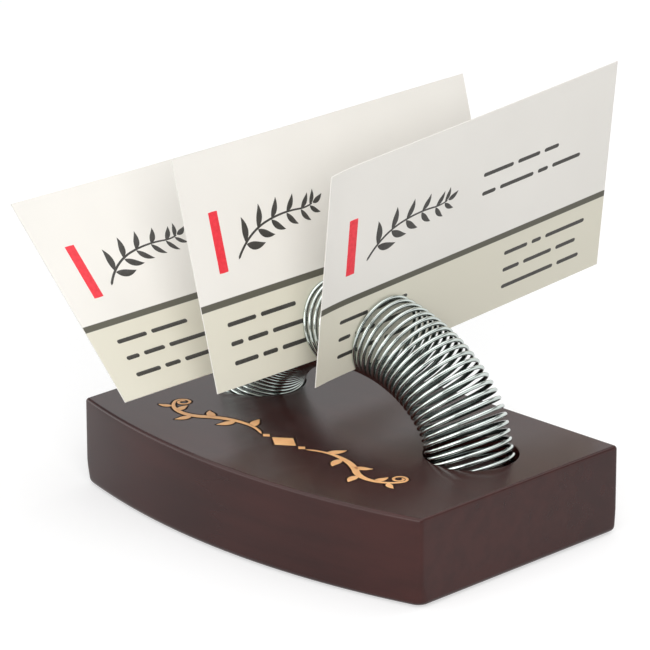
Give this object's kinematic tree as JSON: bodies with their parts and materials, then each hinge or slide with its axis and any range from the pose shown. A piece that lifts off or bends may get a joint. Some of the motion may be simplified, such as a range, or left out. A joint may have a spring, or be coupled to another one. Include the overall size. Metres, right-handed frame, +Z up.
{
  "type": "memo holder",
  "caption": "Desk memo holder: bow-fronted lacquered wood block with an arched coil spring that pinches cards between its turns.",
  "frame": {"origin": "middle of the block's outline, on the table that the felt pad rests on", "axes": "+X to the right along the arch, +Y to the back, +Z up; the bowed front faces -Y"},
  "size_m": [0.1095, 0.119, 0.0893],
  "materials": {
    "lacquered_wood": "satin dark brown lacquer",
    "felt": "dark pressed felt",
    "stained_wood": "dark stain, not lacquered",
    "screw_steel": "zinc plated",
    "spring_steel": "bright drawn wire",
    "card_stock": "smooth printed card"
  },
  "bodies": {
    "base": {"base_block": "lacquered_wood", "felt_pad": "felt", "left_plug": "stained_wood", "right_plug": "stained_wood", "left_screw": "screw_steel", "right_screw": "screw_steel"},
    "coil": {"spring": "spring_steel"},
    "left_card": {"card_left": "card_stock"},
    "middle_card": {"card_middle": "card_stock"},
    "right_card": {"card_right": "card_stock"}
  },
  "joints": [
    {"name": "arch_sway", "type": "hinge", "parent": "base", "child": "coil", "pos_m": [0, 0.0086, 0.0196], "axis": [1, 0, 0], "range_deg": [-10, 10], "stiffness_Nm_per_rad": 0.03, "deforming": ["spring"]},
    {"name": "left_card_slide", "type": "slide", "parent": "coil", "child": "left_card", "axis": [-0.7175, 0.0035, 0.6966], "range_m": [0, 0.01]},
    {"name": "middle_card_slide", "type": "slide", "parent": "coil", "child": "middle_card", "axis": [-0.2873, -0.0052, 0.9578], "range_m": [0, 0.013]},
    {"name": "right_card_slide", "type": "slide", "parent": "coil", "child": "right_card", "axis": [0.1698, -0.075, 0.9826], "range_m": [0, 0.012]}
  ]
}
